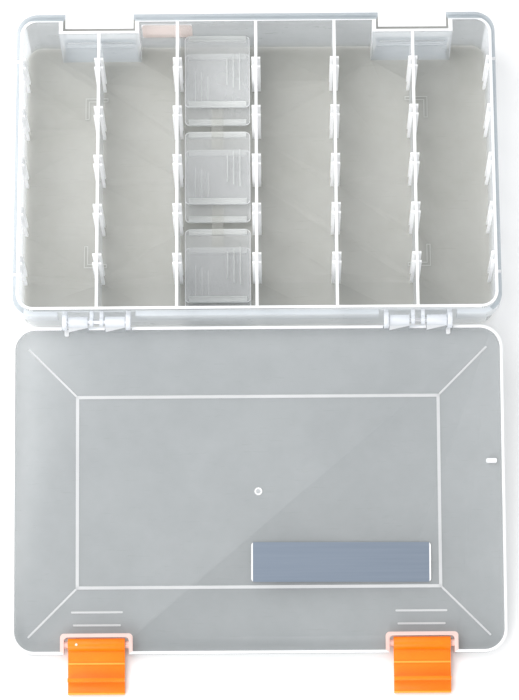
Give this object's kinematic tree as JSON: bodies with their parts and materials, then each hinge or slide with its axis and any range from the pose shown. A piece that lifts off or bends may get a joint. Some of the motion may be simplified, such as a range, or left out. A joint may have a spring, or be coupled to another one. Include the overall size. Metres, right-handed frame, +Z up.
{
  "type": "utility tackle box",
  "caption": "Flat clear tackle box with a slotted column tray, a full-width hinged lid lying open, snap latches and loose dividers stored as a taped pack.",
  "frame": {"origin": "centre of the tray's flat underside", "axes": "+X to the right along the box, +Y from the hinges towards the latch side of the tray, +Z up"},
  "size_m": [0.2798, 0.3972, 0.042],
  "materials": {
    "clear_plastic": "translucent natural polypropylene, satin",
    "divider_plastic": "translucent natural polypropylene, satin",
    "orange_plastic": "satin moulded",
    "pin_steel": "drawn wire",
    "clear_tape": "thin clear film",
    "silver_film": "metallic grey-blue film",
    "pink_paper": "plain pale paper"
  },
  "bodies": {
    "tray": {"base_tray": "clear_plastic", "hinge_pin_left": "pin_steel", "hinge_pin_right": "pin_steel", "front_label": "pink_paper"},
    "lid": {"lid": "clear_plastic", "lid_label": "silver_film"},
    "latch_left": {"latch_left": "orange_plastic"},
    "latch_right": {"latch_right": "orange_plastic"},
    "divider_pack": {"divider_1": "divider_plastic", "divider_2": "divider_plastic", "divider_3": "divider_plastic", "divider_4": "divider_plastic", "divider_5": "divider_plastic", "divider_6": "divider_plastic", "tape_front": "clear_tape", "tape_rear": "clear_tape"}
  },
  "joints": [
    {"name": "lid_hinge", "type": "hinge", "parent": "tray", "child": "lid", "pos_m": [0, -0.095, 0.036], "axis": [-1, 0, 0], "range_deg": [0, 188.38]},
    {"name": "latch_left_pivot", "type": "hinge", "parent": "lid", "child": "latch_left", "pos_m": [-0.09167, -0.27563, 0.00516], "axis": [-1, 0, 0], "range_deg": [0, 90]},
    {"name": "latch_right_pivot", "type": "hinge", "parent": "lid", "child": "latch_right", "pos_m": [0.09167, -0.27563, 0.00516], "axis": [-1, 0, 0], "range_deg": [0, 90]},
    {"name": "divider_pack_lift", "type": "slide", "parent": "tray", "child": "divider_pack", "axis": [0, 0, 1], "range_m": [0, 0.02]}
  ]
}
